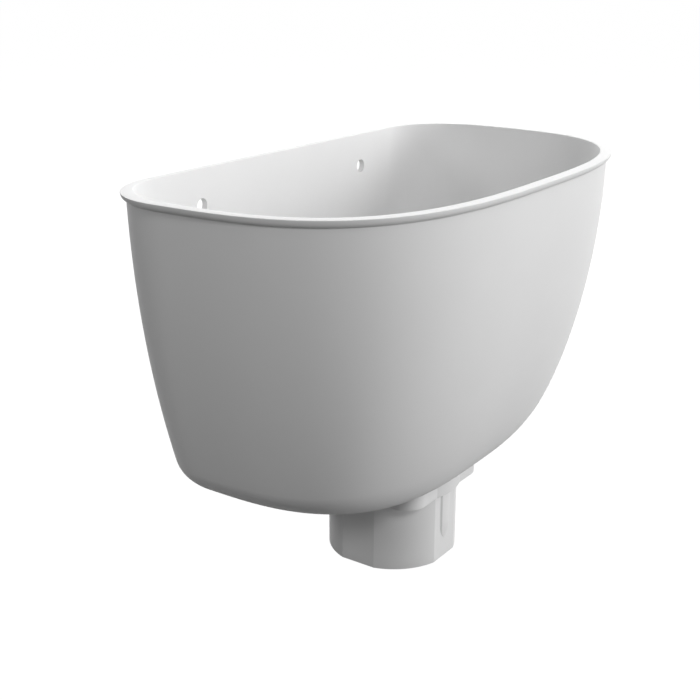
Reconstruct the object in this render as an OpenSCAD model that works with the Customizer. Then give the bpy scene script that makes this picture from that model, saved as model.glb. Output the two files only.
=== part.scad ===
// Hopper head for a rainwater downpipe: a D-shaped bowl that is screwed to a wall through its flat
// back, with a spigot underneath that enters a round or a square downpipe. It is one moulding.
// Millimetres. X runs along the wall, the room side of the wall is -Y, Z is up. The origin is on
// the wall face, midway between the two screw holes.

/* [Rim] */
// Width over the rim bead
rim_width = 264; // [230:1:300]
// Depth from the wall to the front of the rim bead
rim_depth = 145; // [130:1:180]
// Radius of the rim outline at its two back corners
rim_corner_r = 38; // [25:1:50]
// How far the bead stands out from the wall below it
bead_out = 2.5; // [1.5:0.5:5]
// Height of the bead
bead_h = 3.2; // [2:0.1:6]
// Rounding of the inner edge of the rim
rim_edge_r = 0.6; // [0.3:0.1:2]

/* [Bowl] */
// Depth from the top of the rim to the foot of the bowl
bowl_depth = 142; // [120:1:180]
// Wall thickness
wall = 3; // [2.2:0.1:4]
// Floor thickness
floor_t = 3; // [2:0.1:5]
// Fall of the floor towards the outlet
floor_fall = 3; // [1:0.5:6]
// Squareness of the bowed front in plan, 2 is an ellipse
front_fullness = 3.1; // [2.4:0.1:4]
// How far each side wall bows inwards from the rim to the foot
side_bow = 26; // [10:0.5:40]
// Inward run of the rounded foot of a side wall
side_foot_w = 27; // [10:1:35]
// Height of the rounded foot of a side wall
side_foot_h = 18.5; // [8:0.5:40]
// How far the front wall bows inwards from the rim to the foot
front_bow = 12.5; // [0:0.5:15]
// Inward run of the front wall's sweep to the foot
front_sweep = 22; // [10:0.5:35]
// Inward run of the rounded foot of the back wall
back_foot_w = 5; // [2:0.5:10]
// Height of the rounded foot of the back wall
back_foot_h = 6; // [3:0.5:20]
// Back corner of the wall just below the rim, measured along the wall face
corner_top_x = 37; // [20:0.5:50]
// Back corner of the wall just below the rim, measured away from the wall face
corner_top_y = 42; // [25:0.5:60]
// Back corner at the foot, measured along the wall face
corner_foot_x = 53; // [20:0.5:60]
// Back corner at the foot, measured away from the wall face
corner_foot_y = 34; // [15:1:45]

/* [Wall screws] */
// Distance between the two screw holes
screw_spacing = 126; // [80:1:150]
// Diameter of a screw hole
screw_hole_d = 6.8; // [4:0.1:9]
// Drop from the top of the rim to the screw holes
screw_drop = 17; // [12:0.5:40]

/* [Outlet] */
// Distance from the wall face to the axis of the outlet
outlet_offset = 66.5; // [60:0.5:74]
// Diameter of the spigot, which enters a round downpipe
spigot_d = 64; // [60:0.5:70]
// Distance across the spigot's flats, which enter a square downpipe
spigot_flats = 61.3; // [58:0.1:66]
// Length of the spigot below the pipe stop
spigot_length = 36; // [25:1:60]
// Diameter of the waterway through the spigot
bore_d = 56; // [46:0.5:57]
// Diameter of the waterway where it leaves the bowl
throat_d = 63; // [58:0.5:64]
// Side of the square pipe stop
stop_square = 65; // [65:0.5:72]
// Corner radius of the square pipe stop
stop_corner_r = 10; // [4:0.5:16]
// Diameter of the round pipe stop
stop_round_d = 68.5; // [67:0.5:74]
// Height of the pipe stop, up to the foot of the bowl
stop_height = 15; // [8:1:30]

/* [Guide rib] */
// Width of the rib at its root on the front flat of the spigot
rib_w = 9; // [4:0.5:14]
// Share of that width that the rib's level crest keeps between its sloped sides
rib_crest = 0.5; // [0.3:0.05:0.8]
// How far the rib stands out from the flat
rib_out = 0.8; // [0.5:0.1:1.8]
// Length of the rib below the pipe stop
rib_length = 26; // [18:1:34]
// Length of the tapered tip at the rib's lower end
rib_tip = 8; // [6:0.5:16]

/* [Hidden] */
$fn = 96;

// Steps of the outline over the straight back, a back corner and the bowed front, on each half
back_steps = 4;
corner_steps = 9;
front_steps = 28;
// Steps of the wall from the rim to the foot
wall_steps = 15;
// Directions round the underside of the bead and round the rim's inner edge
bead_angles = [72, 54, 36, 18, 0];
edge_angles = [30, 55, 75];
// How far a cut runs past the surface that it goes through
overcut = 1;

rim_z = screw_drop;
wall_top_z = rim_z - bead_h;
foot_z = rim_z - bowl_depth;
stop_z = foot_z - stop_height;
end_z = stop_z - spigot_length;
wall_drop = wall_top_z - foot_z;

function lerp(from, to, f) = from + (to - from) * f;

// Inward run of a rounded foot, as part of an ellipse, at the share t of the way down the wall
function foot_run(t, run, height) =
    let (q = max(0, 1 - (1 - t) * wall_drop / height))
    run * (1 - sqrt(1 - q * q));

// A plan section of the bowl is [half width, depth, setback of the back, corner x, corner y]
function rim_section() = [rim_width / 2, rim_depth, 0, rim_corner_r, rim_corner_r];

// Section of the wall at the share t of the way down, moved inwards by inset
function wall_section(t, inset) = [
    rim_width / 2 - bead_out - side_bow * t * t - foot_run(t, side_foot_w, side_foot_h) - inset,
    rim_depth - bead_out - front_bow * t * t - foot_run(t, front_sweep, wall_drop) - inset,
    foot_run(t, back_foot_w, back_foot_h) + inset,
    lerp(corner_top_x, corner_foot_x, t) - inset,
    lerp(corner_top_y, corner_foot_y, t) - inset
];

// Right half of a section's outline: straight back, quarter-ellipse corner, superellipse front
function half_outline(s) =
    let (straight = s[0] - s[3], corner_y = -s[2] - s[4], front = s[1] + corner_y)
    concat(
        [for (i = [0:back_steps - 1]) [straight * i / back_steps, -s[2]]],
        [for (i = [0:corner_steps - 1])
            let (a = 90 * i / corner_steps)
            [straight + s[3] * sin(a), corner_y + s[4] * cos(a)]],
        [for (i = [0:front_steps])
            let (a = 90 * i / front_steps, e = 2 / front_fullness)
            [s[0] * pow(cos(a), e), corner_y - front * pow(sin(a), e)]]
    );

// A section's whole outline at one height, clockwise seen from above
function ring(s, z) =
    let (half = half_outline(s), last = len(half) - 1)
    concat(
        [for (p = half) [p[0], p[1], z]],
        [for (i = [last - 1:-1:1]) [-half[i][0], half[i][1], z]]
    );

// Share of the way down the wall at a step, with the steps closer together near the foot
function wall_share(i) = 1 - pow(1 - i / wall_steps, 2);

// The bead is flat on top and quarter round below, from the wall's section out to the rim's
function bead_ring(angle) =
    ring(lerp(wall_section(0, 0), rim_section(), cos(angle)), rim_z - bead_h * sin(angle));

// The rounded inner edge of the rim opens the cavity from the wall's inside
function edge_ring(angle) =
    ring(wall_section(0, wall - rim_edge_r * (1 - cos(angle))),
         rim_z - rim_edge_r * (1 - sin(angle)));

// Closed solid through a stack of rings, from the lowest to the highest, with a point at each end
module skin(rings, low_point, high_point) {
    around = len(rings[0]);
    levels = len(rings);
    low = levels * around;
    high = low + 1;
    side_faces = [
        for (j = [0:levels - 2], i = [0:around - 1])
            let (k = (i + 1) % around, a = j * around + i, b = j * around + k)
            let (c = b + around, d = a + around)
            each i < around / 2 ? [[a, b, c], [a, c, d]] : [[a, b, d], [b, c, d]]
    ];
    low_faces = [for (i = [0:around - 1]) [low, (i + 1) % around, i]];
    top_ring = low - around;
    high_faces = [for (i = [0:around - 1]) [high, top_ring + i, top_ring + (i + 1) % around]];
    polyhedron(
        points = concat([for (r = rings) each r], [low_point, high_point]),
        faces = concat(side_faces, low_faces, high_faces)
    );
}

// The bowl's outside as a solid, up to the flat top of the rim
module bowl_outside() {
    skin(
        concat(
            [for (i = [wall_steps:-1:0]) ring(wall_section(wall_share(i), 0),
                                              lerp(wall_top_z, foot_z, wall_share(i)))],
            [for (a = bead_angles) bead_ring(a)]
        ),
        [0, -outlet_offset, foot_z - floor_fall],
        [0, -outlet_offset, rim_z]
    );
}

// The space inside the bowl, open at the top
module bowl_cavity() {
    edge_z = rim_z - rim_edge_r;
    skin(
        concat(
            [for (i = [wall_steps:-1:0]) ring(wall_section(wall_share(i), wall),
                                              lerp(edge_z, foot_z + floor_t, wall_share(i)))],
            [for (a = edge_angles) edge_ring(a)],
            [ring(wall_section(0, wall - rim_edge_r - overcut), rim_z + overcut)]
        ),
        [0, -outlet_offset, foot_z + floor_t - floor_fall],
        [0, -outlet_offset, rim_z + overcut]
    );
}

// Round spigot with four flats, running up inside the pipe stop
module spigot() {
    translate([0, -outlet_offset, end_z])
        linear_extrude(spigot_length + stop_height)
            intersection() {
                circle(d = spigot_d);
                square(spigot_flats, center = true);
            }
}

// Shoulder that the end of a square or a round downpipe meets
module pipe_stop() {
    flat_part = stop_square - 2 * stop_corner_r;
    translate([0, -outlet_offset, stop_z])
        linear_extrude(stop_height + floor_t) {
            circle(d = stop_round_d);
            square([stop_square, flat_part], center = true);
            square([flat_part, stop_square], center = true);
            for (x = [-1, 1], y = [-1, 1])
                translate([x, y] * flat_part / 2)
                    circle(r = stop_corner_r);
        }
}

// Rib on the front flat: a low ridge with sloped sides, a rounded lower tip, and a crest that ramps
// up from the tip
module guide_rib() {
    flat_y = -outlet_offset - spigot_flats / 2;
    tip_arc_r = (rib_w * rib_w / 4 + rib_tip * rib_tip) / rib_w;
    tip_z = stop_z - rib_length;
    shoulder_z = tip_z + rib_tip;
    top_z = stop_z + stop_height / 2;
    root = rib_w / 2;
    crest = rib_w * rib_crest / 2;
    intersection() {
        translate([0, 0, tip_z])
            linear_extrude(top_z - tip_z)
                polygon([
                    [-root, flat_y + overcut],
                    [-root, flat_y],
                    [-crest, flat_y - rib_out],
                    [crest, flat_y - rib_out],
                    [root, flat_y],
                    [root, flat_y + overcut]
                ]);
        translate([0, flat_y + overcut, shoulder_z])
            rotate([90, 0, 0])
                linear_extrude(rib_out + 2 * overcut) {
                    translate([-rib_w / 2, 0])
                        square([rib_w, top_z - shoulder_z]);
                    intersection_for (side = [-1, 1])
                        translate([side * (tip_arc_r - rib_w / 2), 0])
                            circle(r = tip_arc_r);
                }
        translate([-rib_w, 0, 0])
            rotate([90, 0, 90])
                linear_extrude(2 * rib_w)
                    polygon([
                        [flat_y + overcut, tip_z],
                        [flat_y, tip_z],
                        [flat_y - rib_out, shoulder_z],
                        [flat_y - rib_out, top_z],
                        [flat_y + overcut, top_z]
                    ]);
    }
}

// The way for the water: a straight bore in the spigot that widens through the pipe stop
module waterway() {
    translate([0, -outlet_offset, 0])
        rotate_extrude()
            polygon([
                [0, end_z - overcut],
                [bore_d / 2, end_z - overcut],
                [bore_d / 2, stop_z],
                [throat_d / 2, foot_z + floor_t],
                [0, foot_z + floor_t]
            ]);
}

module screw_holes() {
    for (side = [-1, 1])
        translate([side * screw_spacing / 2, overcut, 0])
            rotate([90, 0, 0])
                cylinder(d = screw_hole_d, h = wall + 2 * overcut);
}

module hopper_head() {
    color("whitesmoke")
        difference() {
            union() {
                bowl_outside();
                pipe_stop();
                spigot();
                guide_rib();
            }
            bowl_cavity();
            waterway();
            screw_holes();
        }
}

hopper_head();
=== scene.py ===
"""Downpipe hopper head in white PVC-U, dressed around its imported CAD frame.

The moulding is one closed skin. A profile runs from the throat of the outlet over the floor, up the inside
of the bowl, round the rim bead, down the outside, over the pipe stop and the spigot and back up the bore,
and a node tree sweeps the plan outline along it. The guide rib is joined on and the screw holes are cut.
"""

import logging
import math
from dataclasses import dataclass, field
from enum import Enum

import bmesh
import bpy
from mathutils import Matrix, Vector


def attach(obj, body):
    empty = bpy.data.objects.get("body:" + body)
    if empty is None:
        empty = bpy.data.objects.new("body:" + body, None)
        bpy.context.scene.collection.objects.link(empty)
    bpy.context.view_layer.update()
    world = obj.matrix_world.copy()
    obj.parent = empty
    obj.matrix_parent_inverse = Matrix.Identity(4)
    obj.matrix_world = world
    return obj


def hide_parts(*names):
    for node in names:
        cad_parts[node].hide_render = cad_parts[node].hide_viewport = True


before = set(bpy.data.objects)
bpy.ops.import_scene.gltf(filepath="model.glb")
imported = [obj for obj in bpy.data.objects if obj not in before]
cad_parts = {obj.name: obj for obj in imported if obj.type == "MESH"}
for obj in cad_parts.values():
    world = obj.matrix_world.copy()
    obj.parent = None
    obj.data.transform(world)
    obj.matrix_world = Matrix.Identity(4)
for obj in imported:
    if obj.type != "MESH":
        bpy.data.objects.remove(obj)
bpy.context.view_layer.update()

LOG = logging.getLogger("hopper_head")
MM = 0.001
# Places of the two colours and of the result among the sockets of a Mix node that mixes colours.
MIX_FIRST, MIX_SECOND, MIX_RESULT = 6, 7, 2
Operand = str | float
Row = tuple[str, str, *tuple[Operand, ...]]


def linear(hex_colour: str) -> tuple[float, float, float, float]:
    """Turns an sRGB hex value into a linear colour.

    Args:
        hex_colour: Six hex digits, red first.

    Returns:
        Linear red, green, blue and an alpha of one.
    """
    parts = [int(hex_colour[i:i + 2], 16) / 255 for i in (0, 2, 4)]
    red, green, blue = [c / 12.92 if c <= 0.04045 else ((c + 0.055) / 1.055) ** 2.4 for c in parts]
    return red, green, blue, 1.0


def add_node(tree: bpy.types.NodeTree, kind: str, inputs: dict | None = None, **settings) -> bpy.types.Node:
    """Adds a node, with its settings and links, to a tree.

    Args:
        tree: Tree that takes the node.
        kind: Type of node.
        inputs: Name or number of an input to its value, or to the output that feeds it.
        settings: Properties of the node.

    Returns:
        The new node.
    """
    node = tree.nodes.new(kind)
    for name, value in settings.items():
        setattr(node, name, value)
    for key, value in (inputs or {}).items():
        if isinstance(value, bpy.types.NodeSocket):
            tree.links.new(value, node.inputs[key])
        else:
            node.inputs[key].default_value = value
    return node


def quarter_turn(steps: int) -> list[tuple[float, float]]:
    """Sine and cosine of the angles of a quarter turn, from its first angle to its last.

    Args:
        steps: Steps of the turn.

    Returns:
        The pairs in order, one more than there are steps.
    """
    angles = [math.pi / 2 * k / steps for k in range(steps + 1)]
    return [(math.sin(a), math.cos(a)) for a in angles]


class Side(Enum):
    """The two sides of the moulded wall."""

    INSIDE = "inside"
    OUTSIDE = "outside"


class Outlet(Enum):
    """Plan outlines round the outlet's axis, as shares of the spigot's and of the pipe stop's outline."""

    ROUND = (0.0, 0.0)
    SPIGOT = (1.0, 0.0)
    STOP = (0.0, 1.0)


@dataclass(frozen=True)
class Station:
    """One ring of the swept skin, in millimetres.

    A ring follows the bowl's wall where gather is 0 and the outlet's outline where it is 1.
    """

    height: float
    share: float = 0.0
    inset: float = 0.0
    bead: float = 0.0
    gather: float = 0.0
    radius: float = 0.0
    outline: Outlet = Outlet.ROUND
    fall: float = 0.0


@dataclass(frozen=True)
class MouldedPvc:
    """White PVC-U as it leaves an injection mould with a fine spark-eroded texture.

    To the eye it is a clean, neutral white with a broad satin sheen. Its tone wanders a little where the
    melt flowed, and a fine grain softens the highlights.
    """

    name: str = "moulded_white_pvc_u"
    light_tone: str = "EEEEEE"
    deep_tone: str = "EAEAEA"
    roughness_low: float = 0.5
    roughness_high: float = 0.6
    ior: float = 1.53
    # A spark-eroded mould leaves the skin matt, so that it mirrors less than polished plastic does.
    mirror_level: float = 0.06
    flow_mm: float = 45.0
    sheen_patch_mm: float = 9.0
    # The real grain is about 0.2 mm across, which is less than a pixel, so it is drawn about 1 mm across.
    grain_mm: float = 1.0
    grain_depth_mm: float = 0.012

    def make(self) -> bpy.types.Material:
        """Builds the material's nodes.

        Returns:
            The material.
        """
        material = bpy.data.materials.new(self.name)
        material.use_nodes = True
        tree = material.node_tree
        tree.nodes.clear()
        place = add_node(tree, "ShaderNodeTexCoord").outputs["Object"]
        # A noise repeats about once per unit, so its scale is one over the size of a patch in metres.
        flow = add_node(tree, "ShaderNodeTexNoise", {
            "Vector": place, "Scale": 1 / (self.flow_mm * MM), "Detail": 3.0, "Distortion": 0.6,
        })
        tone = add_node(tree, "ShaderNodeMix", {
            "Factor": flow.outputs["Fac"], MIX_FIRST: linear(self.deep_tone),
            MIX_SECOND: linear(self.light_tone),
        }, data_type="RGBA")
        patch = add_node(tree, "ShaderNodeTexNoise", {
            "Vector": place, "Scale": 1 / (self.sheen_patch_mm * MM), "Detail": 4.0,
        })
        rough = add_node(tree, "ShaderNodeMapRange", {
            "Value": patch.outputs["Fac"], "To Min": self.roughness_low, "To Max": self.roughness_high,
        })
        grain = add_node(tree, "ShaderNodeTexNoise", {
            "Vector": place, "Scale": 1 / (self.grain_mm * MM), "Detail": 2.0, "Roughness": 0.55,
        })
        bump = add_node(tree, "ShaderNodeBump", {
            "Strength": 1.0, "Distance": self.grain_depth_mm * MM, "Height": grain.outputs["Fac"],
        })
        skin = add_node(tree, "ShaderNodeBsdfPrincipled", {
            "Base Color": tone.outputs[MIX_RESULT], "Roughness": rough.outputs["Result"], "IOR": self.ior,
            "Specular IOR Level": self.mirror_level, "Normal": bump.outputs["Normal"],
        })
        add_node(tree, "ShaderNodeOutputMaterial", {"Surface": skin.outputs["BSDF"]})
        return material


@dataclass
class FieldSheet:
    """Number fields of one Geometry Nodes tree, kept under their names."""

    tree: bpy.types.NodeTree
    fields: dict[str, bpy.types.NodeSocket] = field(default_factory=dict)

    def work_out(self, rows: list[Row]) -> None:
        """Adds one math step for each row.

        Args:
            rows: Name of the result, operation, then the operands as names of fields or as numbers.
        """
        for name, operation, *operands in rows:
            inputs = {i: self.fields[x] if isinstance(x, str) else x for i, x in enumerate(operands)}
            self.fields[name] = add_node(self.tree, "ShaderNodeMath", inputs, operation=operation).outputs[0]


def new_tree(name: str, sizes: dict[str, float]) -> tuple[bpy.types.NodeTree, bpy.types.Node]:
    """Starts a Geometry Nodes tree with a geometry input, a material input and one input for each size.

    Args:
        name: Name of the tree.
        sizes: Name of each size to its value.

    Returns:
        The tree and its group input node.
    """
    tree = bpy.data.node_groups.new(name, "GeometryNodeTree")
    tree.interface.new_socket("Geometry", in_out="INPUT", socket_type="NodeSocketGeometry")
    tree.interface.new_socket("Material", in_out="INPUT", socket_type="NodeSocketMaterial")
    for size in sizes:
        tree.interface.new_socket(size, in_out="INPUT", socket_type="NodeSocketFloat")
    tree.interface.new_socket("Geometry", in_out="OUTPUT", socket_type="NodeSocketGeometry")
    return tree, add_node(tree, "NodeGroupInput")


def end_tree(
    tree: bpy.types.NodeTree, geometry: bpy.types.NodeSocket, material: bpy.types.NodeSocket,
) -> None:
    """Ends a tree with real geometry that carries its material.

    Args:
        tree: Tree to end.
        geometry: Output that holds the finished geometry.
        material: Output that holds the material.
    """
    real = add_node(tree, "GeometryNodeRealizeInstances", {"Geometry": geometry})
    dressed = add_node(tree, "GeometryNodeSetMaterial", {"Geometry": real.outputs[0], "Material": material})
    add_node(tree, "NodeGroupOutput", {"Geometry": dressed.outputs[0]})


def add_tree(piece: bpy.types.Object, tree: bpy.types.NodeTree, values: dict) -> None:
    """Puts a tree on a piece as a modifier and sets its inputs.

    Args:
        piece: Object that takes the modifier.
        tree: Geometry Nodes tree.
        values: Name of each input to its value.
    """
    modifier = piece.modifiers.new(tree.name, "NODES")
    modifier.node_group = tree
    for item in tree.interface.items_tree:
        if item.in_out == "INPUT" and item.name in values:
            modifier[item.identifier] = values[item.name]


@dataclass
class OutletBody:
    """Pipe stop, spigot and bore below the bowl, in millimetres."""

    offset: float = 66.5
    spigot_r: float = 32.0
    spigot_half_flats: float = 30.65
    bore_r: float = 28.0
    throat_r: float = 31.5
    stop_half_side: float = 32.5
    stop_corner_r: float = 10.0
    stop_round_r: float = 34.25
    stop_z: float = -140.0
    end_z: float = -176.0
    root_fillet: float = 0.3
    stop_edge_r: float = 0.4
    neck_fillet: float = 0.4
    lip_outer_r: float = 0.2
    lip_inner_r: float = 0.8
    # How far each ring of the throat's rounded edge reaches past the throat, from the floor down.
    throat_edge: tuple[float, ...] = (2.2, 1.3, 0.7, 0.25, 0.0)
    # Each of those rings lies below the floor by this times the square of its number, counted from 0.
    throat_dip: float = 0.06
    # The cone above the bore ends this far below the floor, with this share of the throat's widening.
    cone_below_floor: float = 3.5
    cone_share: float = 0.8
    edge_steps: int = 8
    root_steps: int = 5
    stop_steps: int = 3
    spigot_steps: int = 8
    bore_steps: int = 6
    cone_steps: int = 3

    def stations(self, root_z: float, floor_z: float) -> list[Station]:
        """Rings from the root of the pipe stop down its outside and back up the bore.

        Args:
            root_z: Height at which the stop's straight side starts.
            floor_z: Height of the bowl's floor.

        Returns:
            The rings in order, up to the throat's edge.
        """
        quarter = quarter_turn(self.edge_steps)
        rings: list[Station] = []

        def ring(height: float, radius: float, outline: Outlet) -> None:
            """Adds one ring round the outlet's axis."""
            rings.append(Station(height, gather=1.0, radius=radius, outline=outline))

        def stretch(
            steps: int, heights: tuple[float, float], radii: tuple[float, float], outline: Outlet,
        ) -> None:
            """Adds evenly spaced rings from one height and radius to another, without the first."""
            (z_0, z_1), (r_0, r_1) = heights, radii
            for k in range(1, steps + 1):
                ring(z_0 + (z_1 - z_0) * k / steps, r_0 + (r_1 - r_0) * k / steps, outline)

        stop_edge_z = self.stop_z + self.stop_edge_r
        ring(root_z, 0.0, Outlet.STOP)
        stretch(self.stop_steps, (root_z, stop_edge_z), (0.0, 0.0), Outlet.STOP)
        for s, c in quarter[1:]:
            ring(stop_edge_z - self.stop_edge_r * s, -self.stop_edge_r * (1 - c), Outlet.STOP)
        for s, c in quarter:
            ring(self.stop_z - self.neck_fillet * (1 - c), self.neck_fillet * (1 - s), Outlet.SPIGOT)
        neck_z, lip_z = self.stop_z - self.neck_fillet, self.end_z + self.lip_outer_r
        stretch(self.spigot_steps, (neck_z, lip_z), (0.0, 0.0), Outlet.SPIGOT)
        for s, c in quarter[1:]:
            ring(lip_z - self.lip_outer_r * s, -self.lip_outer_r * (1 - c), Outlet.SPIGOT)
        for s, c in quarter:
            radius = self.bore_r + self.lip_inner_r * (1 - s)
            ring(self.end_z + self.lip_inner_r * (1 - c), radius, Outlet.ROUND)
        bore_z = self.end_z + self.lip_inner_r
        stretch(self.bore_steps, (bore_z, self.stop_z), (self.bore_r, self.bore_r), Outlet.ROUND)
        cone_z = floor_z - self.cone_below_floor
        cone_r = self.bore_r + (self.throat_r - self.bore_r) * self.cone_share
        stretch(self.cone_steps, (self.stop_z, cone_z), (self.bore_r, cone_r), Outlet.ROUND)
        return rings

    def sizes(self) -> dict[str, float]:
        """Inputs of the sweep that belong to the outlet.

        Returns:
            Name of each input to its value in metres.
        """
        return {
            "Outlet offset": self.offset * MM,
            "Spigot radius": self.spigot_r * MM,
            "Spigot half flats": self.spigot_half_flats * MM,
            "Stop half side": self.stop_half_side * MM,
            "Stop corner": self.stop_corner_r * MM,
            "Stop radius": self.stop_round_r * MM,
        }


@dataclass
class Bowl:
    """D-shaped bowl: flat back, bowed front and a quarter-round bead under the rim, in millimetres."""

    rim_width: float = 264.0
    rim_depth: float = 145.0
    rim_corner: float = 38.0
    bead_out: float = 2.5
    bead_h: float = 3.2
    bead_edge_r: float = 0.12
    bead_fillet: float = 0.1
    # The wall's rings start at least this far below the bead.
    bead_clearance: float = 0.5
    rim_edge_r: float = 0.4
    rim_z: float = 17.0
    foot_z: float = -125.0
    wall: float = 3.0
    floor_t: float = 3.0
    floor_fall: float = 3.0
    front_fullness: float = 3.1
    side_bow: float = 26.0
    side_foot_w: float = 27.0
    side_foot_h: float = 18.5
    front_bow: float = 12.5
    front_sweep: float = 22.0
    back_foot_w: float = 5.0
    back_foot_h: float = 6.0
    corner_top_x: float = 37.0
    corner_top_y: float = 42.0
    corner_foot_x: float = 53.0
    corner_foot_y: float = 34.0
    wall_steps: int = 22
    foot_steps: int = 24
    floor_steps: int = 8
    edge_steps: int = 8

    @property
    def wall_top_z(self) -> float:
        """Height at which the wall meets the underside of the bead."""
        return self.rim_z - self.bead_h

    @property
    def wall_drop(self) -> float:
        """Height of the wall from the bead to the foot."""
        return self.wall_top_z - self.foot_z

    def shares(self) -> list[float]:
        """Shares of the way down the wall at which its rings lie.

        Returns:
            The shares in order, evenly spaced above the foot and by angle round it.
        """
        foot = self.side_foot_h / self.wall_drop
        upper = [(1 - foot) * k / self.wall_steps for k in range(self.wall_steps)]
        return upper + [1 - foot * (1 - s) for s, _ in quarter_turn(self.foot_steps)]

    def wall_stations(self, side: Side) -> list[Station]:
        """Rings of one side of the wall.

        Args:
            side: Side of the wall, which is followed upwards inside and downwards outside.

        Returns:
            The rings in order.
        """
        if side is Side.OUTSIDE:
            top, foot, inset = self.wall_top_z, self.foot_z, 0.0
        else:
            top, foot, inset = self.rim_z - self.rim_edge_r, self.foot_z + self.floor_t, self.wall
        rings = [Station(top + (foot - top) * t, share=t, inset=inset) for t in self.shares()]
        return rings if side is Side.OUTSIDE else rings[::-1]

    def rim_stations(self) -> list[Station]:
        """Rings over the rim, from its rounded inner edge to the middle of its top.

        Returns:
            The rings in order.
        """
        edge = self.rim_edge_r
        rings = [
            Station(self.rim_z - edge * (1 - s), inset=self.wall - edge * (1 - c))
            for s, c in quarter_turn(self.edge_steps)[1:]
        ]
        return [*rings, Station(self.rim_z, inset=(self.wall - edge) / 2)]

    def bead_stations(self) -> list[Station]:
        """Rings over the rim's crisp outer edge, round the underside of the bead and into the wall.

        Returns:
            The rings in order.
        """
        edge, fillet = self.bead_edge_r, self.bead_fillet
        quarter = quarter_turn(self.edge_steps)
        edge_out = self.bead_out * math.sqrt(1 - (edge / self.bead_h) ** 2)
        rings = [
            Station(self.rim_z - edge * (1 - c), bead=(edge_out - edge * (1 - s)) / self.bead_out)
            for s, c in quarter
        ]
        first, last = math.asin(edge / self.bead_h), math.acos(fillet / self.bead_out)
        under_steps = 2 * self.edge_steps
        for k in range(1, under_steps + 1):
            a = first + (last - first) * k / under_steps
            rings.append(Station(self.rim_z - self.bead_h * math.sin(a), bead=math.cos(a)))
        low = rings[-1].height
        for s, c in quarter[1:]:
            rings.append(Station(low - fillet * (1 - c), bead=fillet * (1 - s) / self.bead_out))
        return rings

    def stations(self, outlet: OutletBody) -> list[Station]:
        """The whole profile, from the throat round to the throat again.

        Args:
            outlet: Outlet below the bowl.

        Returns:
            The rings in order, the last of them equal to the first.
        """
        inner_z = self.foot_z + self.floor_t
        fall, fillet, steps = self.floor_fall, outlet.root_fillet, self.floor_steps
        throat = [
            Station(inner_z - outlet.throat_dip * k * k, gather=1.0,
                    radius=outlet.throat_r + reach, fall=fall)
            for k, reach in reversed(list(enumerate(outlet.throat_edge)))
        ]
        inner_floor = [
            Station(inner_z, share=1.0, inset=self.wall, gather=1 - k / steps,
                    radius=throat[-1].radius, fall=fall)
            for k in range(1, steps)
        ]
        bead = self.bead_stations()
        wall_top = bead[-1].height - self.bead_clearance
        below_bead = [ring for ring in self.wall_stations(Side.OUTSIDE) if ring.height < wall_top]
        outer_floor = [
            Station(self.foot_z, share=1.0, gather=k / steps, radius=fillet, outline=Outlet.STOP, fall=fall)
            for k in range(1, steps + 1)
        ]
        root = [
            Station(self.foot_z - fillet * (1 - c), gather=1.0, radius=fillet * (1 - s),
                    outline=Outlet.STOP, fall=fall)
            for s, c in quarter_turn(outlet.root_steps)[1:-1]
        ]
        upper = [*throat, *inner_floor, *self.wall_stations(Side.INSIDE), *self.rim_stations(), *bead]
        lower = outlet.stations(self.foot_z - fall - fillet, inner_z)
        return [*upper, *below_bead, *outer_floor, *root, *lower, throat[0]]

    def sizes(self) -> dict[str, float]:
        """Inputs of the sweep that belong to the bowl.

        Returns:
            Name of each input to its value, in metres apart from the fullness.
        """
        return {
            "Rim half width": self.rim_width / 2 * MM,
            "Rim depth": self.rim_depth * MM,
            "Rim corner": self.rim_corner * MM,
            "Bead reach": self.bead_out * MM,
            "Wall drop": self.wall_drop * MM,
            "Side bow": self.side_bow * MM,
            "Side foot width": self.side_foot_w * MM,
            "Side foot height": self.side_foot_h * MM,
            "Front bow": self.front_bow * MM,
            "Front sweep": self.front_sweep * MM,
            "Back foot width": self.back_foot_w * MM,
            "Back foot height": self.back_foot_h * MM,
            "Corner top along": self.corner_top_x * MM,
            "Corner top out": self.corner_top_y * MM,
            "Corner foot along": self.corner_foot_x * MM,
            "Corner foot out": self.corner_foot_y * MM,
            "Front fullness": self.front_fullness,
        }


@dataclass
class OutlineSteps:
    """Steps of one half of the plan outline, over its back, corner and front, and of the outlet's eighth."""

    back: int = 24
    corner: int = 36
    front: int = 96
    # From the middle of a flat to the spigot's corner, to the stop's two corners and to the diagonal.
    eighth: tuple[int, int, int, int] = (14, 2, 14, 9)
    # Spreads the steps of the front evenly along its curve.
    front_spread: float = 1.6

    @property
    def half(self) -> int:
        """Steps on one half of the outline."""
        return self.back + self.corner + self.front


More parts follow.
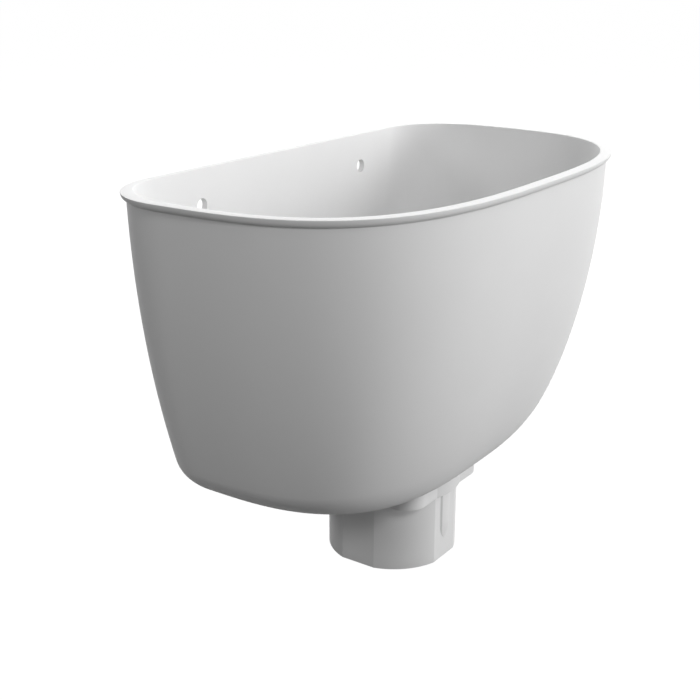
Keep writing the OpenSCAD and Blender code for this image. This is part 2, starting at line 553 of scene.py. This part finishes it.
@dataclass
class SweptSkin:
    """The bowl and its outlet as one closed skin, swept by a node tree."""

    bowl: Bowl
    outlet: OutletBody
    steps: OutlineSteps
    name: str = "hopper_head_moulding"
    # Points of the grid that lie closer than this, in millimetres, become one.
    merge_gap: float = 0.001

    def profile_object(self) -> bpy.types.Object:
        """Makes an object with one point for each ring of the profile.

        Returns:
            The object, with each ring's numbers as attributes of its point.
        """
        rings = self.bowl.stations(self.outlet)
        points = [(0.0, 0.0, s.height * MM) for s in rings]
        edges = [(k, k + 1) for k in range(len(rings) - 1)]
        mesh = bpy.data.meshes.new(self.name)
        mesh.from_pydata(points, edges, [])
        columns = {
            "wall_at": [(s.share, s.inset * MM, s.bead) for s in rings],
            "outlet_at": [(s.radius * MM, *s.outline.value) for s in rings],
            "level_at": [(s.height * MM, s.gather, s.fall * MM) for s in rings],
        }
        for column, rows in columns.items():
            attribute = mesh.attributes.new(column, "FLOAT_VECTOR", "POINT")
            attribute.data.foreach_set("vector", [x for row in rows for x in row])
        piece = bpy.data.objects.new(self.name, mesh)
        bpy.context.scene.collection.objects.link(piece)
        return piece

    def read_profile(
        self, tree: bpy.types.NodeTree, sheet: FieldSheet, profile: bpy.types.NodeSocket,
    ) -> None:
        """Gives each grid point its step round the outline and its ring's numbers.

        Args:
            tree: Tree of the sweep.
            sheet: Fields of the sweep.
            profile: Output that holds the profile's points.
        """
        size = add_node(tree, "GeometryNodeAttributeDomainSize", {"Geometry": profile}, component="MESH")
        sheet.fields["levels"] = size.outputs["Point Count"]
        sheet.fields["index"] = add_node(tree, "GeometryNodeInputIndex").outputs[0]
        sheet.work_out([
            ("turn", "DIVIDE", "index", "levels"),
            ("step", "FLOOR", "turn"),
            ("level", "FLOORED_MODULO", "index", "levels"),
        ])
        names = {
            "wall_at": ("share", "inset", "bead"),
            "outlet_at": ("radius", "as_spigot", "as_stop"),
            "level_at": ("height", "gather", "fall"),
        }
        for column, parts in names.items():
            stored = add_node(tree, "GeometryNodeInputNamedAttribute", {"Name": column},
                              data_type="FLOAT_VECTOR")
            found = add_node(tree, "GeometryNodeSampleIndex", {
                "Geometry": profile, "Value": stored.outputs["Attribute"], "Index": sheet.fields["level"],
            }, data_type="FLOAT_VECTOR", domain="POINT")
            split = add_node(tree, "ShaderNodeSeparateXYZ", {0: found.outputs["Value"]})
            sheet.fields.update(zip(parts, split.outputs))

    def foot_rows(self, result: str, run: Operand, height: Operand) -> list[Row]:
        """Steps for the inward run of a rounded foot, which is part of an ellipse.

        Args:
            result: Name of the run at a ring.
            run: Run at the foot.
            height: Height over which the foot is rounded.

        Returns:
            Rows for the sheet.
        """
        q = result + "_q"
        return [
            (q + "1", "SUBTRACT", 1.0, "share"),
            (q + "2", "MULTIPLY", q + "1", "Wall drop"),
            (q + "3", "DIVIDE", q + "2", height),
            (q + "4", "SUBTRACT", 1.0, q + "3"),
            (q + "5", "MAXIMUM", q + "4", 0.0),
            (q + "6", "MULTIPLY", q + "5", q + "5"),
            (q + "7", "SUBTRACT", 1.0, q + "6"),
            (q + "8", "MAXIMUM", q + "7", 0.0),
            (q + "9", "SQRT", q + "8"),
            (q, "SUBTRACT", 1.0, q + "9"),
            (result, "MULTIPLY", q, run),
        ]

    def mix_rows(self, result: str, start: Operand, end: Operand, factor: Operand) -> list[Row]:
        """Steps for a straight blend of two fields.

        Args:
            result: Name of the blend.
            start: Value at a factor of 0.
            end: Value at a factor of 1.
            factor: Field that blends.

        Returns:
            Rows for the sheet.
        """
        gap = result + "_gap"
        return [(gap, "SUBTRACT", end, start), (result, "MULTIPLY_ADD", gap, factor, start)]

    def section_rows(self) -> list[Row]:
        """Steps for a ring's plan section: half width, depth, setback and the two sizes of its corner.

        Returns:
            Rows for the sheet.
        """
        rows = [("bow", "MULTIPLY", "share", "share")]
        rows += self.foot_rows("side_foot", "Side foot width", "Side foot height")
        rows += self.foot_rows("front_foot", "Front sweep", "Wall drop")
        rows += self.foot_rows("back_foot", "Back foot width", "Back foot height")
        for name, reach, bow in (("side", "Rim half width", "Side bow"), ("front", "Rim depth", "Front bow")):
            rows += [
                (name + "_1", "SUBTRACT", reach, "Bead reach"),
                (name + "_2", "MULTIPLY", bow, "bow"),
                (name + "_3", "SUBTRACT", name + "_1", name + "_2"),
                (name + "_4", "SUBTRACT", name + "_3", name + "_foot"),
                (name + "_5", "SUBTRACT", name + "_4", "inset"),
                *self.mix_rows(name, name + "_5", reach, "bead"),
            ]
        rows += [("back_1", "ADD", "back_foot", "inset"), *self.mix_rows("back", "back_1", 0.0, "bead")]
        for name in ("along", "out"):
            rows += [
                *self.mix_rows(name + "_1", f"Corner top {name}", f"Corner foot {name}", "share"),
                (name + "_2", "SUBTRACT", name + "_1", "inset"),
                *self.mix_rows(name, name + "_2", "Rim corner", "bead"),
            ]
        return rows

    def share_rows(self, result: str, start: float, count: float, index: str) -> list[Row]:
        """Steps for the share of a stretch of the outline that lies behind a step.

        Args:
            result: Name of the share, from 0 to 1.
            start: Step at which the stretch starts.
            count: Steps in the stretch.
            index: Field that holds the step.

        Returns:
            Rows for the sheet.
        """
        part = result + "_part"
        return [
            (part + "1", "SUBTRACT", index, start),
            (part + "2", "DIVIDE", part + "1", count),
            (part + "3", "MAXIMUM", part + "2", 0.0),
            (result, "MINIMUM", part + "3", 1.0),
        ]

    def plan_rows(self) -> list[Row]:
        """Steps for a point of the bowl's plan: straight back, quarter-ellipse corner, superellipse front.

        Returns:
            Rows for the sheet.
        """
        s = self.steps
        quarter = math.pi / 2
        return [
            ("from_front", "SUBTRACT", float(s.half), "step"),
            ("hand", "SIGN", "from_front"),
            ("distance", "ABSOLUTE", "from_front"),
            ("half_step", "SUBTRACT", float(s.half), "distance"),
            *self.share_rows("back_share", 0.0, s.back, "half_step"),
            *self.share_rows("corner_share", s.back, s.corner, "half_step"),
            *self.share_rows("front_share", s.back + s.corner, s.front, "half_step"),
            ("corner_turn", "MULTIPLY", "corner_share", quarter),
            ("corner_sin", "SINE", "corner_turn"),
            ("corner_cos", "COSINE", "corner_turn"),
            ("spread_1", "POWER", "front_share", s.front_spread),
            ("spread_2", "SUBTRACT", 1.0, "front_share"),
            ("spread_3", "POWER", "spread_2", s.front_spread),
            ("spread_4", "ADD", "spread_1", "spread_3"),
            ("spread", "DIVIDE", "spread_1", "spread_4"),
            ("front_turn", "MULTIPLY", "spread", quarter),
            ("front_sin", "SINE", "front_turn"),
            ("front_cos", "COSINE", "front_turn"),
            ("front_cos_up", "MAXIMUM", "front_cos", 0.0),
            ("exponent", "DIVIDE", 2.0, "Front fullness"),
            ("forward", "POWER", "front_sin", "exponent"),
            ("sideways", "POWER", "front_cos_up", "exponent"),
            ("straight", "SUBTRACT", "side", "along"),
            ("x_1", "MULTIPLY", "straight", "back_share"),
            ("x_2", "MULTIPLY_ADD", "along", "corner_sin", "x_1"),
            ("x_3", "MULTIPLY", "x_2", "sideways"),
            ("bowl_x", "MULTIPLY", "x_3", "hand"),
            ("y_1", "SUBTRACT", 1.0, "corner_cos"),
            ("y_2", "MULTIPLY_ADD", "out", "y_1", "back"),
            ("y_3", "SUBTRACT", "front", "back"),
            ("y_4", "SUBTRACT", "y_3", "out"),
            ("y_5", "MULTIPLY_ADD", "y_4", "forward", "y_2"),
            ("bowl_y", "MULTIPLY", "y_5", -1.0),
        ]

    def outlet_rows(self) -> list[Row]:
        """Steps for a point of the outlet's plan, with a step on each corner of the spigot and the stop.

        Returns:
            Rows for the sheet.
        """
        s = self.steps
        quarter = s.half / 2
        starts = [sum(s.eighth[:k]) for k in range(4)]
        eighth = sum(s.eighth)
        rows = [
            ("past_side", "SUBTRACT", "half_step", quarter),
            ("past_side_abs", "ABSOLUTE", "past_side"),
            ("quarter_step", "SUBTRACT", quarter, "past_side_abs"),
            ("past_corner", "SUBTRACT", "quarter_step", float(eighth)),
            ("past_corner_abs", "ABSOLUTE", "past_corner"),
            ("eighth_step", "SUBTRACT", float(eighth), "past_corner_abs"),
            ("flat_cos", "DIVIDE", "Spigot half flats", "Spigot radius"),
            ("turn_0", "ARCCOSINE", "flat_cos"),
            ("side_cos", "DIVIDE", "Stop half side", "Stop radius"),
            ("turn_1", "ARCCOSINE", "side_cos"),
            ("stop_flat", "SUBTRACT", "Stop half side", "Stop corner"),
            ("turn_2", "ARCTAN2", "stop_flat", "Stop half side"),
        ]
        ends: list[Operand] = [0.0, "turn_0", "turn_1", "turn_2", math.pi / 4]
        sum_name: Operand = 0.0
        for k in range(4):
            rows += self.share_rows(f"eighth_{k}", starts[k], s.eighth[k], "eighth_step")
            rows += [
                (f"width_{k}", "SUBTRACT", ends[k + 1], ends[k]),
                (f"eighth_turn_{k}", "MULTIPLY_ADD", f"width_{k}", f"eighth_{k}", sum_name),
            ]
            sum_name = f"eighth_turn_{k}"
        rows += [
            ("fold_1", "SUBTRACT", math.pi / 4, sum_name),
            ("fold_2", "SIGN", "past_corner"),
            ("quarter_turn", "MULTIPLY_ADD", "fold_1", "fold_2", math.pi / 4),
            ("fold_3", "SUBTRACT", math.pi / 2, "quarter_turn"),
            ("fold_4", "SIGN", "past_side"),
            ("bearing", "MULTIPLY_ADD", "fold_3", "fold_4", math.pi / 2),
            ("eighth_cos", "COSINE", sum_name),
            ("eighth_sin", "SINE", sum_name),
            ("flat_reach", "DIVIDE", "Spigot half flats", "eighth_cos"),
            ("spigot_reach", "MINIMUM", "flat_reach", "Spigot radius"),
            ("side_reach", "DIVIDE", "Stop half side", "eighth_cos"),
            ("both", "ADD", "eighth_cos", "eighth_sin"),
            ("arc_1", "MULTIPLY", "stop_flat", "both"),
            ("arc_2", "MULTIPLY", "arc_1", "arc_1"),
            ("arc_3", "MULTIPLY", "stop_flat", "stop_flat"),
            ("arc_4", "MULTIPLY_ADD", "arc_3", -2.0, "arc_2"),
            ("arc_5", "MULTIPLY_ADD", "Stop corner", "Stop corner", "arc_4"),
            ("arc_6", "MAXIMUM", "arc_5", 0.0),
            ("arc_7", "SQRT", "arc_6"),
            ("arc_reach", "ADD", "arc_1", "arc_7"),
            ("on_arc", "GREATER_THAN", sum_name, "turn_2"),
            *self.mix_rows("square_reach", "side_reach", "arc_reach", "on_arc"),
            ("stop_reach", "MAXIMUM", "square_reach", "Stop radius"),
            ("reach_1", "MULTIPLY_ADD", "as_spigot", "spigot_reach", "radius"),
            ("reach", "MULTIPLY_ADD", "as_stop", "stop_reach", "reach_1"),
            ("bearing_sin", "SINE", "bearing"),
            ("bearing_cos", "COSINE", "bearing"),
            ("outlet_1", "MULTIPLY", "reach", "bearing_sin"),
            ("outlet_x", "MULTIPLY", "outlet_1", "hand"),
            ("outlet_2", "MULTIPLY", "reach", "bearing_cos"),
            ("outlet_y", "SUBTRACT", "outlet_2", "Outlet offset"),
        ]
        return rows

    def place_rows(self) -> list[Row]:
        """Steps that gather a ring towards the outlet and let the floor fall towards the outlet's axis.

        Returns:
            Rows for the sheet.
        """
        return [
            *self.mix_rows("x", "bowl_x", "outlet_x", "gather"),
            *self.mix_rows("y", "bowl_y", "outlet_y", "gather"),
            ("from_axis", "ADD", "y", "Outlet offset"),
            ("reach_x", "MULTIPLY", "x", "x"),
            ("reach_now", "MULTIPLY_ADD", "from_axis", "from_axis", "reach_x"),
            ("near", "SQRT", "reach_now"),
            ("foot_from_axis", "ADD", "bowl_y", "Outlet offset"),
            ("reach_foot_x", "MULTIPLY", "bowl_x", "bowl_x"),
            ("reach_foot", "MULTIPLY_ADD", "foot_from_axis", "foot_from_axis", "reach_foot_x"),
            ("far", "SQRT", "reach_foot"),
            ("ratio", "DIVIDE", "near", "far"),
            ("slope", "SUBTRACT", 1.0, "ratio"),
            ("drop", "MULTIPLY", "fall", "slope"),
            ("z", "SUBTRACT", "height", "drop"),
        ]

    def build(self, material: bpy.types.Material) -> bpy.types.Object:
        """Makes the profile object and sweeps it.

        Args:
            material: Finish of the skin.

        Returns:
            The piece, with the sweep as a modifier.
        """
        sizes = {**self.bowl.sizes(), **self.outlet.sizes()}
        tree, given = new_tree("sweep_outline_along_profile", sizes)
        sheet = FieldSheet(tree, {name: given.outputs[name] for name in sizes})
        self.read_profile(tree, sheet, given.outputs["Geometry"])
        sheet.work_out([*self.section_rows(), *self.plan_rows(), *self.outlet_rows(), *self.place_rows()])
        grid = add_node(tree, "GeometryNodeMeshGrid", {
            "Vertices X": 2 * self.steps.half + 1, "Vertices Y": sheet.fields["levels"],
        })
        axes = {i: sheet.fields[axis] for i, axis in enumerate("xyz")}
        place = add_node(tree, "ShaderNodeCombineXYZ", axes)
        moved = add_node(tree, "GeometryNodeSetPosition", {
            "Geometry": grid.outputs["Mesh"], "Position": place.outputs[0],
        })
        closed = add_node(tree, "GeometryNodeMergeByDistance", {
            "Geometry": moved.outputs[0], "Distance": self.merge_gap * MM,
        })
        end_tree(tree, closed.outputs[0], given.outputs["Material"])
        piece = self.profile_object()
        add_tree(piece, tree, {**sizes, "Material": material})
        return piece


@dataclass
class GuideRib:
    """Low ridge on the spigot's front flat, with soft sides and a tip that ramps up, in millimetres."""

    outlet: OutletBody
    width: float = 9.0
    crest_share: float = 0.5
    out: float = 0.8
    length: float = 26.0
    tip: float = 8.0
    root: float = 1.0
    top_overlap: float = 5.0
    # Share of each side's width over which it rises, with a hollow foot and a rounded shoulder.
    rise_share: float = 0.6
    edge_steps: int = 8
    tip_steps: int = 24
    # Crowds the rings of the tip towards its point.
    tip_crowding: float = 1.5
    # The straight stretch has a ring this far above the tip and one this far below the stop.
    above_tip: float = 4.0
    below_stop: float = 0.5

    def section(self, half_width: float, height: float) -> list[tuple[float, float]]:
        """Cross section whose sides rise in a soft curve to a level crest.

        Args:
            half_width: Half of the width at the flat.
            height: How far the crest stands out from the flat.

        Returns:
            Points as sideways and outwards, from the root on one side to the root on the other.
        """
        run = half_width * (1 - self.crest_share) * self.rise_share
        right = [(half_width, -self.root)]
        for k in range(self.edge_steps + 1):
            t = k / self.edge_steps
            right.append((half_width - run * t, height * t * t * (3 - 2 * t)))
        return right + [(-x, y) for x, y in reversed(right)]

    def build(self) -> bpy.types.Object:
        """Makes the rib as a closed solid that is let into the flat.

        Returns:
            The rib's object.
        """
        flat_y = -self.outlet.offset - self.outlet.spigot_half_flats
        tip_z = self.outlet.stop_z - self.length
        half = self.width / 2
        arc_r = (half * half + self.tip * self.tip) / self.width
        shares = [k / self.tip_steps for k in range(1, self.tip_steps + 1)]
        levels = [share ** self.tip_crowding * self.tip for share in shares]
        levels += [self.tip + self.above_tip, self.length - self.below_stop, self.length + self.top_overlap]
        bm = bmesh.new()
        rows = []
        for rise in levels:
            below = max(0.0, self.tip - rise)
            half_width = math.sqrt(arc_r * arc_r - below * below) - (arc_r - half)
            height = self.out * min(1.0, rise / self.tip)
            rows.append([
                bm.verts.new((x * MM, (flat_y - y) * MM, (tip_z + rise) * MM))
                for x, y in self.section(half_width, height)
            ])
        for low, high in zip(rows, rows[1:]):
            count = len(low)
            for i in range(count):
                k = (i + 1) % count
                bm.faces.new((low[i], low[k], high[k], high[i]))
        bm.faces.new(rows[0][::-1])
        bm.faces.new(rows[-1])
        bmesh.ops.recalc_face_normals(bm, faces=bm.faces)
        mesh = bpy.data.meshes.new("guide_rib")
        bm.to_mesh(mesh)
        bm.free()
        rib = bpy.data.objects.new("guide_rib", mesh)
        bpy.context.scene.collection.objects.link(rib)
        return rib

    def join_to(self, piece: bpy.types.Object, material: bpy.types.Material) -> bpy.types.Object:
        """Unites the rib with the moulding through a node tree.

        Args:
            piece: The moulding.
            material: Finish of the moulding.

        Returns:
            The rib's own object, which is no longer needed once the piece is evaluated.
        """
        rib = self.build()
        tree, given = new_tree("unite_rib_with_spigot", {})
        tree.interface.new_socket("Rib", in_out="INPUT", socket_type="NodeSocketObject")
        found = add_node(tree, "GeometryNodeObjectInfo", {"Object": given.outputs["Rib"]})
        united = add_node(tree, "GeometryNodeMeshBoolean", operation="UNION", solver="EXACT")
        for mesh in (given.outputs["Geometry"], found.outputs["Geometry"]):
            tree.links.new(mesh, united.inputs["Mesh 2"])
        end_tree(tree, united.outputs["Mesh"], given.outputs["Material"])
        add_tree(piece, tree, {"Material": material, "Rib": rib})
        return rib


@dataclass
class WallScrewHoles:
    """Two plain holes through the flat back, in millimetres."""

    wall: float
    count: int = 2
    spacing: float = 126.0
    diameter: float = 6.8
    overcut: float = 1.0
    facets: int = 64

    def cut_from(self, piece: bpy.types.Object, material: bpy.types.Material) -> None:
        """Cuts the holes with drills that a node tree sets out along a line.

        Args:
            piece: The moulding.
            material: Finish of the moulding.
        """
        sizes = {
            "Spacing": self.spacing * MM,
            "Radius": self.diameter / 2 * MM,
            "Depth": (self.wall + 2 * self.overcut) * MM,
            "Middle of wall": -self.wall / 2 * MM,
        }
        tree, given = new_tree("drill_wall_screw_holes", sizes)
        sheet = FieldSheet(tree, {name: given.outputs[name] for name in sizes})
        sheet.work_out([("first", "MULTIPLY", "Spacing", -(self.count - 1) / 2)])
        start = add_node(tree, "ShaderNodeCombineXYZ", {
            0: sheet.fields["first"], 1: given.outputs["Middle of wall"],
        })
        step = add_node(tree, "ShaderNodeCombineXYZ", {0: given.outputs["Spacing"]})
        line = add_node(tree, "GeometryNodeMeshLine", {
            "Count": self.count, "Start Location": start.outputs[0], "Offset": step.outputs[0],
        })
        drill = add_node(tree, "GeometryNodeMeshCylinder", {
            "Vertices": self.facets, "Radius": given.outputs["Radius"], "Depth": given.outputs["Depth"],
        })
        drills = add_node(tree, "GeometryNodeInstanceOnPoints", {
            "Points": line.outputs["Mesh"], "Instance": drill.outputs["Mesh"],
            "Rotation": (math.pi / 2, 0.0, 0.0),
        })
        real = add_node(tree, "GeometryNodeRealizeInstances", {"Geometry": drills.outputs[0]})
        cut = add_node(tree, "GeometryNodeMeshBoolean", {
            "Mesh 1": given.outputs["Geometry"], "Mesh 2": real.outputs[0],
        }, operation="DIFFERENCE", solver="EXACT")
        end_tree(tree, cut.outputs["Mesh"], given.outputs["Material"])
        add_tree(piece, tree, {**sizes, "Material": material})


@dataclass
class HopperHead:
    """The whole moulding: bowl, outlet, guide rib and screw holes in one skin."""

    finish: MouldedPvc = field(default_factory=MouldedPvc)
    bowl: Bowl = field(default_factory=Bowl)
    outlet: OutletBody = field(default_factory=OutletBody)
    # Edges that turn by more than this stay crisp, and the rounded ones are shaded as smooth.
    crisp_angle_deg: float = 14.0

    def build(self) -> bpy.types.Object:
        """Builds the moulding as one plain mesh.

        Returns:
            The finished piece.
        """
        material = self.finish.make()
        piece = SweptSkin(self.bowl, self.outlet, OutlineSteps()).build(material)
        rib = GuideRib(self.outlet).join_to(piece, material)
        WallScrewHoles(self.bowl.wall).cut_from(piece, material)
        self.make_plain(piece)
        bpy.data.objects.remove(rib)
        return piece

    def make_plain(self, piece: bpy.types.Object) -> None:
        """Turns the evaluated node trees into the piece's own mesh, with outward faces and crisp edges.

        Args:
            piece: Object that carries the trees.
        """
        graph = bpy.context.evaluated_depsgraph_get()
        made = bpy.data.meshes.new_from_object(piece.evaluated_get(graph))
        piece.modifiers.clear()
        bm = bmesh.new()
        bm.from_mesh(made)
        bmesh.ops.recalc_face_normals(bm, faces=bm.faces)
        if bm.calc_volume(signed=True) < 0:
            bmesh.ops.reverse_faces(bm, faces=bm.faces)
        bm.to_mesh(made)
        bm.free()
        made.shade_smooth()
        made.set_sharp_from_angle(angle=math.radians(self.crisp_angle_deg))
        made.name = piece.name
        piece.data = made


@dataclass(frozen=True)
class Softbox:
    """A round soft lamp that is aimed at the middle of the object, in degrees, metres and watts.

    Its azimuth runs from straight in front of the object towards the object's right-hand side.
    """

    name: str
    azimuth: float
    elevation: float
    power: float
    size: float = 0.9
    distance: float = 1.5
    aim: tuple[float, float, float] = (0.0, -0.07, -0.06)

    def make(self) -> None:
        """Makes the lamp."""
        a, e = math.radians(self.azimuth), math.radians(self.elevation)
        away = Vector((math.sin(a) * math.cos(e), -math.cos(a) * math.cos(e), math.sin(e)))
        lamp = bpy.data.lights.new(self.name, "AREA")
        lamp.shape = "DISK"
        lamp.size = self.size
        lamp.energy = self.power
        holder = bpy.data.objects.new(self.name, lamp)
        holder.location = Vector(self.aim) + away * self.distance
        holder.rotation_euler = (-away).to_track_quat("-Z", "Y").to_euler()
        bpy.context.scene.collection.objects.link(holder)


@dataclass
class Studio:
    """Pale floor, soft light and the photograph's camera, in metres and degrees."""

    floor_z: float = -0.176
    floor_half: float = 6.0
    floor_colour: str = "505050"
    # The floor is a little less than white by itself, so that the lamps bring it to white around the shadow.
    floor_lift: float = 0.98
    world_light: float = 0.229
    lamps: tuple[Softbox, ...] = (
        Softbox("front_softbox", 30.0, 10.0, 10.0),
        Softbox("right_softbox", 60.0, 25.0, 6.1),
        Softbox("high_right_softbox", 90.0, 65.0, 6.3),
        Softbox("back_right_softbox", 120.0, 25.0, 7.1),
        Softbox("back_softbox", 150.0, 10.0, 7.1),
        Softbox("left_lamp", -30.0, 35.0, 3.9, size=0.3),
        Softbox("low_left_lamp", -30.0, 15.0, 1.7, size=0.3),
        Softbox("back_left_lamp", -120.0, 25.0, 2.2, size=0.3),
    )
    camera_at: tuple[float, float, float] = (-0.451313, -0.356604, 0.110085)
    azimuth: float = -54.975
    elevation: float = 18.955
    lens_mm: float = 60.189
    sensor_mm: float = 36.0

    def build(self) -> None:
        """Makes the floor, the lamps, the world and the camera."""
        self.make_floor()
        self.make_world()
        for lamp in self.lamps:
            lamp.make()
        self.make_camera()

    def seen_directly(self, tree: bpy.types.NodeTree) -> bpy.types.NodeSocket:
        """Adds the test for rays that show the background.

        Args:
            tree: Tree of the floor's or the world's shader.

        Returns:
            Output that is 1 for camera, glossy and transmission rays.
        """
        path = add_node(tree, "ShaderNodeLightPath")
        near = add_node(tree, "ShaderNodeMath", {
            0: path.outputs["Is Camera Ray"], 1: path.outputs["Is Glossy Ray"],
        }, operation="MAXIMUM")
        return add_node(tree, "ShaderNodeMath", {
            0: near.outputs[0], 1: path.outputs["Is Transmission Ray"],
        }, operation="MAXIMUM").outputs[0]

    def make_floor(self) -> None:
        """Makes the floor, which looks white and still takes the object's shadow."""
        mesh = bpy.data.meshes.new("studio_floor")
        h = self.floor_half
        corners = [(-h, -h), (h, -h), (h, h), (-h, h)]
        mesh.from_pydata([(x, y, self.floor_z) for x, y in corners], [], [(0, 1, 2, 3)])
        floor = bpy.data.objects.new("studio_floor", mesh)
        bpy.context.scene.collection.objects.link(floor)
        material = bpy.data.materials.new("pale_studio_paper")
        material.use_nodes = True
        tree = material.node_tree
        tree.nodes.clear()
        matt = add_node(tree, "ShaderNodeBsdfDiffuse", {"Color": linear(self.floor_colour)})
        strength = add_node(tree, "ShaderNodeMapRange", {
            "Value": self.seen_directly(tree), "To Max": self.floor_lift,
        })
        lift = add_node(tree, "ShaderNodeEmission", {"Strength": strength.outputs["Result"]})
        both = add_node(tree, "ShaderNodeAddShader", {0: matt.outputs[0], 1: lift.outputs[0]})
        add_node(tree, "ShaderNodeOutputMaterial", {"Surface": both.outputs[0]})
        mesh.materials.append(material)

    def make_world(self) -> None:
        """Makes a world that is white to the camera and a soft grey light to the object."""
        world = bpy.data.worlds.new("studio_world")
        world.use_nodes = True
        tree = world.node_tree
        tree.nodes.clear()
        strength = add_node(tree, "ShaderNodeMapRange", {
            "Value": self.seen_directly(tree), "To Min": self.world_light, "To Max": 1.0,
        })
        glow = add_node(tree, "ShaderNodeBackground", {
            "Color": (1.0, 1.0, 1.0, 1.0), "Strength": strength.outputs["Result"],
        })
        add_node(tree, "ShaderNodeOutputWorld", {"Surface": glow.outputs[0]})
        bpy.context.scene.world = world

    def make_camera(self) -> None:
        """Makes the camera at the photograph's angle."""
        data = bpy.data.cameras.new("photo_camera")
        data.lens = self.lens_mm
        data.sensor_width = self.sensor_mm
        camera = bpy.data.objects.new("photo_camera", data)
        a, e = math.radians(self.azimuth), math.radians(self.elevation)
        ahead = Vector((-math.sin(a) * math.cos(e), math.cos(a) * math.cos(e), -math.sin(e)))
        camera.location = self.camera_at
        camera.rotation_euler = ahead.to_track_quat("-Z", "Y").to_euler()
        bpy.context.scene.collection.objects.link(camera)
        bpy.context.scene.camera = camera


def main() -> None:
    """Builds the studio and the hopper head, and hands the piece to the frame."""
    logging.basicConfig(level=logging.INFO, format="%(name)s: %(message)s")
    bpy.context.scene.view_settings.view_transform = "Standard"
    Studio().build()
    piece = HopperHead().build()
    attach(piece, "root")
    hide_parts("hopper_head")
    LOG.info("%s: %d points, %d faces", piece.name, len(piece.data.vertices), len(piece.data.polygons))


if __name__ == "__main__":
    main()
